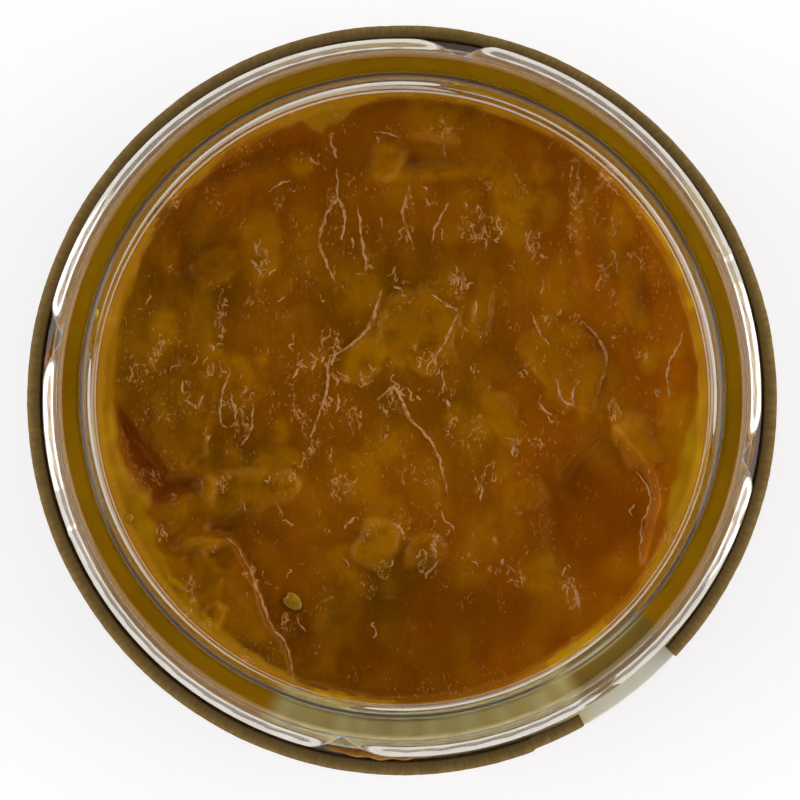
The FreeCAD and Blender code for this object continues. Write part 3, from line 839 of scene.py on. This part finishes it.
long_threads = (
    (0.17, (-5.8, 20.4), (-5.7, 17.9), (-6.7, 16.0), (-7.3, 13.8), (-6.6, 11.8), (-5.8, 10.0)),
    (0.14, (-5.7, 17.9), (-5.0, 16.0), (-5.3, 13.8)),
    (0.15, (-3.9, 16.8), (-3.5, 13.8), (-3.2, 11.2), (-4.0, 10.9)),
    (0.13, (0.7, 18.8), (0.1, 16.0), (1.1, 13.1)),
    (0.13, (4.1, 17.3), (3.0, 15.2), (2.6, 13.7)),
    (0.18, (-1.8, 9.5), (-2.2, 8.1), (-2.8, 6.4), (-4.6, 4.5), (-6.4, 3.6)),
    (0.18, (-6.4, 3.8), (-6.5, 0.9), (-6.8, -0.2), (-7.4, -1.8), (-8.0, -3.5)),
    (0.14, (2.5, 9.1), (4.0, 8.1), (4.9, 7.6), (4.4, 6.4), (3.7, 4.8), (2.0, 2.5)),
    (0.17, (-2.2, -0.2), (-0.6, 0.9), (0.6, -1.6), (2.4, -3.5), (3.4, -5.7), (4.0, -8.6)),
    (0.14, (11.6, 7.3), (12.1, 5.8), (13.1, 4.6)),
    (0.15, (15.8, 6.9), (17.4, 5.1), (18.0, 3.3), (17.1, 0.2)),
    (0.15, (13.5, 1.6), (14.2, -0.2), (15.1, -0.6)),
    (0.15, (20.6, -6.5), (21.7, -8.0), (21.9, -9.1), (21.2, -11.2), (20.9, -14.2)),
    (0.18, (-15.5, -12.1), (-14.4, -13.3), (-13.4, -15.2), (-12.6, -17.2), (-11.7, -19.8),
     (-10.1, -22.0), (-9.6, -25.0)),
    (0.14, (-15.1, 2.5), (-15.7, 0.7), (-16.0, -2.0), (-15.3, -2.7)),
    (0.13, (-13.1, -0.4), (-13.3, -2.8), (-14.2, -4.2)),
    (0.14, (24.9, 6.0), (24.1, 4.2), (23.4, 2.5), (23.5, 0.0)),
    (0.14, (-1.0, -10.7), (-0.4, -11.2), (0.2, -12.0)),
    (0.12, (5.5, 9.5), (5.9, 10.0), (6.4, 10.1)),
    (0.12, (6.4, 8.6), (6.5, 7.6), (6.2, 6.8)),
    (0.13, (14.4, -15.5), (15.2, -16.9), (15.7, -18.9)),
    (0.12, (-2.6, 23.5), (-1.2, 23.3), (-0.3, 22.9)),
)
# patches of short threads: middle x, y, half width, half height, how many
thread_patches = (
    (7.2, 15.2, 1.9, 1.6, 9), (5.1, 10.0, 0.8, 1.0, 5), (11.7, 13.2, 0.8, 1.4, 5),
    (15.4, 19.0, 1.0, 2.2, 7), (2.3, -13.3, 0.9, 0.9, 5), (-15.4, -1.5, 0.8, 2.0, 6),
    (-6.5, 1.5, 0.9, 2.2, 8), (-0.2, 0.6, 1.8, 0.9, 6), (10.6, -3.8, 1.2, 1.4, 4),
    (-12.4, 12.2, 1.0, 1.8, 5), (-8.6, 3.6, 1.2, 1.6, 5), (15.0, -16.6, 0.6, 1.6, 4),
    (-17.4, 2.5, 2.4, 3.0, 8), (1.0, 16.0, 1.4, 2.6, 6), (20.0, 14.0, 2.0, 2.0, 4),
    (0.0, 0.0, 23.0, 23.0, 60),
)
threads = [thread(path, half, number) for number, (half, *path) in enumerate(long_threads)]
thread_draw = np.random.default_rng(17)
for patch_x, patch_y, half_w, half_h, count in thread_patches:
    for _ in range(count):
        aside, up = thread_draw.uniform(-1, 1, 2)
        lean = math.radians(thread_draw.normal(88, 24))
        reach = 0.25 + 0.75 * thread_draw.random() ** 2
        middle = np.array([patch_x + half_w * aside, patch_y + half_h * up])
        away = reach * np.array([math.cos(lean), math.sin(lean)])
        bend = thread_draw.normal(0, 0.18, (3, 2))
        if np.hypot(*middle) > 24.5:
            continue
        threads.append(thread([middle - away, middle - away / 3 + bend[0], middle + away / 3 + bend[1],
                               middle + away + bend[2]], thread_draw.uniform(0.08, 0.14),
                              30 + len(threads), 0.2))
pulp_threads = new_piece("pulp_threads", *gathered(threads))
thread_skin, thread_tree, thread_shader = new_material("pulp_thread_skin", {
    "Roughness": 0.25, "IOR": 1.38, "Specular Tint": (1.0, 0.70, 0.45, 1),
    "Subsurface Weight": 0.2, "Subsurface Radius": (1.0, 0.45, 0.1), "Subsurface Scale": 0.6 * mm})
thread_place = thread_tree.nodes.new("ShaderNodeTexCoord").outputs["Object"]
# the light tan along the threads is painted highlight
thread_tone_and_gleam = blend_colour(thread_tree, speckle(thread_tree, thread_place, 0.7, 2.0, 0.30, 0.60),
                           (0.330, 0.115, 0.006, 1), (0.600, 0.280, 0.100, 1))
thread_tree.links.new(thread_tone_and_gleam, thread_shader.inputs["Base Color"])
pulp_threads.data.materials.append(thread_skin)
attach(pulp_threads, "root")

# --------------------------------------------------------------- chili seeds
# A pale flat seed that lies on the pulp, and a smaller one at the glass.  Each is a
# flattened egg with a rolled edge and a notch where it was attached.


def lump_faces(rows, steps):
    """Faces of a closed lump: rows rings of steps points each, then the point at either end."""
    index = np.arange(rows * steps).reshape(rows, steps)
    beside = np.roll(index, -1, axis=1)
    rings = np.stack([index[:-1], index[1:], beside[1:], beside[:-1]], axis=-1).reshape(-1, 4)
    first = np.stack([np.full(steps, rows * steps), index[0], beside[0]], axis=-1)
    last = np.stack([np.full(steps, rows * steps + 1), beside[-1], index[-1]], axis=-1)
    return rings.tolist() + first.tolist() + last.tolist()


seed_rows, seed_steps = 13, 28


def seed_shape(cx, cy, half_long, half_wide, half_high, turn, lift):
    """Egg: a sphere grid squashed to its half sizes, notched at one end, sunk to lift (mm)."""
    tilt = np.linspace(0, math.pi, seed_rows + 2)[1:-1, None]
    around = np.arange(seed_steps)[None, :] * 2 * math.pi / seed_steps
    x = np.sin(tilt) * np.cos(around) * (1 + 0.12 * np.cos(around))
    y = np.sin(tilt) * np.sin(around)
    z = np.cos(tilt) * (0.75 + 0.25 * np.hypot(x, y) ** 2) * np.ones_like(around)
    x = x - 0.28 * np.exp(-((around - math.pi) / 0.35) ** 2) * x
    x, y, z = (np.append(np.append(w.ravel(), w0), w1) for w, w0, w1 in
               ((x, 0, 0), (y, 0, 0), (z, 0.75, -0.75)))
    angle = math.radians(turn)
    px, py = x * half_long, y * half_wide
    verts = np.stack([px * math.cos(angle) - py * math.sin(angle) + cx,
                      px * math.sin(angle) + py * math.cos(angle) + cy, z * half_high + lift], axis=-1) * mm
    verts[:, 2] += surface_z(np.array([cx * mm]), np.array([cy * mm]))[0]
    return verts, lump_faces(seed_rows, seed_steps)


chili_seeds = new_piece("chili_seeds", *gathered([
    seed_shape(-9.7, -17.8, 0.95, 0.68, 0.34, -40, 0.12),
    seed_shape(-24.1, -10.6, 0.5, 0.4, 0.3, 20, 0.05),
]))
seed_husk, seed_tree, seed_shader = new_material("seed_husk", {
    "Roughness": 0.2, "Specular Tint": (1.0, 0.85, 0.7, 1), "Subsurface Weight": 0.3,
    "Subsurface Radius": (1.0, 0.6, 0.2), "Subsurface Scale": 0.8 * mm})
seed_place = seed_tree.nodes.new("ShaderNodeTexCoord").outputs["Object"]
seed_tone = blend_colour(seed_tree, speckle(seed_tree, seed_place, 0.6, 2.0, 0.35, 0.65),
                         (0.400, 0.230, 0.012, 1), (0.300, 0.150, 0.006, 1))
seed_tree.links.new(seed_tone, seed_shader.inputs["Base Color"])
chili_seeds.data.materials.append(seed_husk)
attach(chili_seeds, "root")

# ------------------------------------------------------------- sauce splashes
# Small blobs of pulp left on the glass of the rim and the bore when the jar was filled.


splash_rows, splash_steps = 9, 16


def splash(turn, r, z, half_round, half_high, stand):
    """Flattened lump on the glass at azimuth turn and (r, z) in mm, half sizes along it."""
    tilt = np.linspace(0, math.pi, splash_rows + 2)[1:-1, None]
    around = np.arange(splash_steps)[None, :] * 2 * math.pi / splash_steps
    ripple = 1 + 0.18 * np.cos(3 * around + turn)
    out = np.append(np.cos(tilt) * np.ones_like(around), [1.0, -1.0]) * stand
    sideways = np.append((np.sin(tilt) * np.cos(around) * ripple).ravel(), [0.0, 0.0]) * half_round
    up = np.append((np.sin(tilt) * np.sin(around) * ripple).ravel(), [0.0, 0.0]) * half_high
    angle = math.radians(turn)
    radius = r - out
    verts = np.stack([radius * math.cos(angle) - sideways * math.sin(angle),
                      radius * math.sin(angle) + sideways * math.cos(angle), z + up], axis=-1) * mm
    return verts, lump_faces(splash_rows, splash_steps)


sauce_splashes = new_piece("sauce_splashes", *gathered([
    splash(164.9, 27.2, 82.4, 0.42, 0.30, 0.22),
    splash(-19.8, 26.8, 79.6, 0.70, 0.25, 0.10),
    splash(257.0, 26.8, 78.6, 0.9, 0.5, 0.10),
    splash(304.0, 26.8, 78.2, 1.6, 0.7, 0.12),
]))
splash_pulp, splash_tree, splash_shader = new_material("splash_pulp", {
    "Roughness": 0.2, "Subsurface Weight": 0.3, "Subsurface Radius": (1.0, 0.6, 0.2),
    "Subsurface Scale": 0.6 * mm})
splash_place = splash_tree.nodes.new("ShaderNodeTexCoord").outputs["Object"]
splash_tone = blend_colour(splash_tree, speckle(splash_tree, splash_place, 0.7, 2.0, 0.35, 0.65),
                           (0.420, 0.330, 0.040, 1), (0.330, 0.210, 0.010, 1))
splash_tree.links.new(splash_tone, splash_shader.inputs["Base Color"])
sauce_splashes.data.materials.append(splash_pulp)
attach(sauce_splashes, "root")

# ---------------------------------------------------------------- brown streaks
# Thin brown streaks outside on the glass, in the hollow between the bead and the
# label's upper edge, near the ends of the lug ridges.


streak_rows, streak_steps = 60, 8


def brown_streak(turn_from, turn_to, r, z, half_wide, half_high):
    """Streak along an arc of radius r at height z, in mm.

    Its section is an ellipse, whose half sizes swell as a sine from end to end.
    """
    share = np.linspace(0.02, 0.98, streak_rows)[:, None]
    around = np.arange(streak_steps)[None, :] * 2 * math.pi / streak_steps
    swell = np.sin(math.pi * share) ** 0.7 * (1 + 0.2 * np.sin(31 * share + turn_from))
    turn = np.radians(turn_from + (turn_to - turn_from) * share) * np.ones_like(around)
    radius = r + half_wide * swell * np.cos(around)
    level = z + half_high * swell * np.sin(around)
    ends = np.radians([turn_from, turn_to])
    verts = np.stack([
        np.append(radius * np.cos(turn), r * np.cos(ends)),
        np.append(radius * np.sin(turn), r * np.sin(ends)),
        np.append(level, [z, z])], axis=-1) * mm
    return verts, lump_faces(streak_rows, streak_steps)


brown_streaks = new_piece("brown_streaks", *gathered([
    brown_streak(346, 364, 31.2, 70.8, 0.28, 0.15),
    brown_streak(169, 186, 31.4, 70.7, 0.36, 0.15),
    brown_streak(214, 229, 31.1, 70.8, 0.18, 0.12),
    brown_streak(257, 277, 31.5, 70.65, 0.42, 0.15),
]))
streak_brown, streak_tree, streak_shader = new_material("streak_brown", {"Roughness": 0.35})
streak_place = streak_tree.nodes.new("ShaderNodeTexCoord").outputs["Object"]
streak_tone = blend_colour(streak_tree, speckle(streak_tree, streak_place, 0.9, 2.0, 0.35, 0.65),
                          (0.300, 0.125, 0.0030, 1), (0.200, 0.070, 0.0020, 1))
streak_tree.links.new(streak_tone, streak_shader.inputs["Base Color"])
brown_streaks.data.materials.append(streak_brown)
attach(brown_streaks, "root")

# ---------------------------------------------------------------------- label
# Khaki-brown kraft paper band glued round the side, its top edge pulled over the start
# of the shoulder in tiny pleats.  Its two ends leave a strip of bare glass.
label_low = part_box("label")[0]
label_gap_from, label_gap_to = 299.0, 317.0
label_wrap = 50.0
label_thickness = 0.2 * mm
label_bury = 0.03 * mm
label_steps = 720
thin_end_from = 290.5
most_stand = 0.28 * mm


def label_sheet(name):
    """Closed band: a profile up the side and over the shoulder, carried round between the ends.

    The outside stands off by the paper's thickness, plus pleats that grow towards the top
    edge; from thin_end_from on it lies closer, at a quarter of that.
    """
    path = joined(straight((body_r, label_low.z), (body_r, side_top_z), 30),
                  arc(neck_r, side_top_z, shoulder_r, 0, label_wrap, 16))
    step = np.gradient(path, axis=0)
    normal = np.stack([step[:, 1], -step[:, 0]], axis=1)
    normal /= np.linalg.norm(normal, axis=1)[:, None]
    run = np.concatenate([[0], np.cumsum(np.linalg.norm(np.diff(path, axis=0), axis=1))])
    over = ease((path[:, 1] - side_top_z + 1.0 * mm) / (2.5 * mm))[:, None]
    degrees = np.linspace(label_gap_to - 360.0, label_gap_from, label_steps)[None, :]
    slant = 0.5 * (over - 0.5)
    turn = np.radians(degrees + slant * ease(1 - (label_gap_from - degrees) / 4)
                      - slant * ease(1 - (degrees - label_gap_to + 360.0) / 4))
    around = degrees * body_r * math.pi / 180
    pleats = 0.035 * mm * wander(around, np.full_like(around, 1.0 * mm), 0.9 * mm, 71)
    pleats = pleats + 0.05 * mm * wander(around, np.full_like(around, 9.0 * mm), 5.0 * mm, 72)
    close = ease((degrees - thin_end_from) / 0.6)
    stand = label_thickness * (1 - 0.75 * close) + pleats * (0.25 + 0.75 * over) * (1 - close)
    stand = np.minimum(stand, most_stand) * np.ones_like(over)
    buried = np.full(stand.shape, -label_bury)
    loops = []
    for offset, rows in ((stand, slice(None)), (buried, slice(None, None, -1))):
        r = path[:, :1] + normal[:, :1] * offset
        z = path[:, 1:] + normal[:, 1:] * offset
        loops.append(np.stack([r * np.cos(turn), r * np.sin(turn), z], axis=-1)[rows])
    verts = np.concatenate(loops)
    index = np.arange(verts.shape[0] * label_steps).reshape(-1, label_steps)
    above = np.roll(index, -1, axis=0)
    faces = np.stack([index[:, :-1], index[:, 1:], above[:, 1:], above[:, :-1]], axis=-1).reshape(-1, 4)
    caps = [index[::-1, 0].tolist(), index[:, -1].tolist()]
    piece = new_piece(name, verts.reshape(-1, 3), faces.tolist() + caps)
    place = piece.data.attributes.new("sheet_place", "FLOAT_VECTOR", "POINT")
    run_both = np.concatenate([run, run[::-1]])[:, None] * np.ones_like(around)
    around_both = around * np.ones_like(run_both)
    values = np.stack([around_both, run_both, np.zeros_like(run_both)], axis=-1)
    place.data.foreach_set("vector", values.ravel())
    return piece


label = label_sheet("paper_label")
kraft_paper, paper_tree, paper_shader = new_material("kraft_paper", {
    "Roughness": 0.85, "Specular IOR Level": 0.12})
sheet_place = add_node(paper_tree, "ShaderNodeAttribute", attribute_name="sheet_place").outputs["Vector"]
fibre_place = add_node(paper_tree, "ShaderNodeMapping", {
    "Vector": sheet_place, "Scale": (1.0, 0.16, 1.0)}).outputs["Vector"]
fibres = speckle(paper_tree, fibre_place, 0.35, 3.0, 0.30, 0.70)
clouds = speckle(paper_tree, sheet_place, 5.0, 3.0, 0.30, 0.70)
flecks = speckle(paper_tree, sheet_place, 0.6, 2.0, 0.64, 0.72)
edge_run = add_node(paper_tree, "ShaderNodeSeparateXYZ", {0: sheet_place}).outputs["Y"]
label_run = side_top_z - label_low.z
edge_shade = add_node(paper_tree, "ShaderNodeMapRange", {
    "Value": edge_run, "From Min": label_run + 0.8 * mm, "From Max": label_run + 3.1 * mm},
    interpolation_type="SMOOTHSTEP").outputs["Result"]
paper_tone = blend_colour(paper_tree, fibres, (0.120, 0.070, 0.012, 1), (0.190, 0.118, 0.029, 1))
paper_tone = blend_colour(paper_tree, product(paper_tree, clouds, 0.35), paper_tone, (0.108, 0.062, 0.009, 1))
paper_tone = blend_colour(paper_tree, product(paper_tree, flecks, 0.5), paper_tone, (0.060, 0.034, 0.006, 1))
paper_tone = blend_colour(paper_tree, product(paper_tree, edge_shade, 0.8), paper_tone,
                          (0.042, 0.023, 0.004, 1))
paper_tree.links.new(paper_tone, paper_shader.inputs["Base Color"])
paper_bump = add_node(paper_tree, "ShaderNodeBump", {
    "Strength": 0.6, "Distance": 0.03 * mm, "Height": fibres})
paper_tree.links.new(paper_bump.outputs["Normal"], paper_shader.inputs["Normal"])
label.data.materials.append(kraft_paper)
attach(label, "root")
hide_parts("label")

# ------------------------------------------------------------- floor and light
# Plain pale floor, a studio that is bright round the horizon and dark overhead, and a
# softbox on each side.  Together they light a matt surface at about its own colour.
floor_half = 2.0
floor_corners = np.array([(-1.0, -1.0, 0.0), (1.0, -1.0, 0.0), (1.0, 1.0, 0.0), (-1.0, 1.0, 0.0)])
floor_glow_colour = (0.33, 0.34, 0.36, 1)
tent_strength = 2.6
overhead_strength = 0.02
softbox_watts = 1.6
floor = new_piece("floor", floor_corners * floor_half, [(0, 1, 2, 3)])


def shows_background(tree):
    """1 for rays that show the background: straight to the camera, mirrored or through glass.

    0 once a ray has left a matt surface, so the background never lights the object.
    """
    path = tree.nodes.new("ShaderNodeLightPath").outputs
    glass_or_mirror = add_node(tree, "ShaderNodeMath", {
        0: path["Is Glossy Ray"], 1: path["Is Transmission Ray"]}, operation="MAXIMUM").outputs[0]
    not_from_matt = add_node(tree, "ShaderNodeMath", {0: 1.0, 1: path["Diffuse Depth"]},
                             operation="SUBTRACT", use_clamp=True).outputs[0]
    return add_node(tree, "ShaderNodeMath", {
        0: path["Is Camera Ray"], 1: product(tree, glass_or_mirror, not_from_matt)},
        operation="MAXIMUM").outputs[0]


floor_paint, floor_tree, floor_shader = new_material("floor_paint", {
    "Base Color": (0.8, 0.8, 0.79, 1), "Roughness": 0.9})
# the glow makes up what the lit floor lacks to white
floor_glow = add_node(floor_tree, "ShaderNodeEmission", {
    "Color": floor_glow_colour, "Strength": shows_background(floor_tree)})
floor_sum = add_node(floor_tree, "ShaderNodeAddShader", {
    0: floor_shader.outputs[0], 1: floor_glow.outputs[0]})
floor_tree.links.new(floor_sum.outputs[0], floor_tree.nodes["Material Output"].inputs["Surface"])
floor.data.materials.append(floor_paint)

world = bpy.data.worlds.new("studio")
bpy.context.scene.world = world
world.use_nodes = True
sky_tree = world.node_tree
sky_up = add_node(sky_tree, "ShaderNodeSeparateXYZ", {
    0: sky_tree.nodes.new("ShaderNodeTexCoord").outputs["Generated"]}).outputs["Z"]
tent = add_node(sky_tree, "ShaderNodeMapRange", {
    "Value": sky_up, "From Min": 0.30, "From Max": 0.80, "To Min": tent_strength,
    "To Max": overhead_strength}, interpolation_type="SMOOTHSTEP").outputs["Result"]
white_at_most = add_node(sky_tree, "ShaderNodeMath", {0: tent, 1: 1.0}, operation="MINIMUM").outputs[0]
sky_strength = add_node(sky_tree, "ShaderNodeMix", {
    0: shows_background(sky_tree), 2: tent, 3: white_at_most})
sky_tree.links.new(sky_strength.outputs[0], sky_tree.nodes["Background"].inputs["Strength"])
sky_tree.nodes["Background"].inputs["Color"].default_value = (1, 1, 1, 1)


def softbox(name, place, aim, width, height, power):
    """Rectangular lamp at place that faces aim."""
    data = bpy.data.lights.new(name, "AREA")
    data.shape = "RECTANGLE"
    data.size, data.size_y = width, height
    data.energy = power
    data.color = (1.0, 0.94, 0.90)
    lamp = bpy.data.objects.new(name, data)
    lamp.location = place
    lamp.rotation_mode = "QUATERNION"
    lamp.rotation_quaternion = (Vector(aim) - Vector(place)).to_track_quat("-Z", "Y")
    bpy.context.scene.collection.objects.link(lamp)
    return lamp


softbox("left_softbox", (-0.8, 0.0, 0.40), (0, 0, 0.08), 0.7, 0.45, softbox_watts)
softbox("right_softbox", (0.8, 0.0, 0.40), (0, 0, 0.08), 0.7, 0.45, softbox_watts)

# --------------------------------------------------------------------- camera
# Looks almost straight down into the mouth, from a hand's reach above the rim.
camera_distance = 0.370
camera_elevation = 88.75
camera_lens = 194.4
camera_aim = Vector((-0.18 * mm, -0.37 * mm, jar_height))
camera_tilt = math.radians(camera_elevation)
camera_back = Vector((0.0, -math.cos(camera_tilt), math.sin(camera_tilt)))
camera_data = bpy.data.cameras.new("camera")
camera_data.sensor_width = 36.0
camera_data.lens = camera_lens
camera = bpy.data.objects.new("camera", camera_data)
camera.location = camera_aim + camera_back * camera_distance
camera.rotation_mode = "QUATERNION"
camera.rotation_quaternion = (-camera_back).to_track_quat("-Z", "Y")
bpy.context.scene.collection.objects.link(camera)
bpy.context.scene.camera = camera

bpy.context.scene.view_settings.view_transform = "Standard"
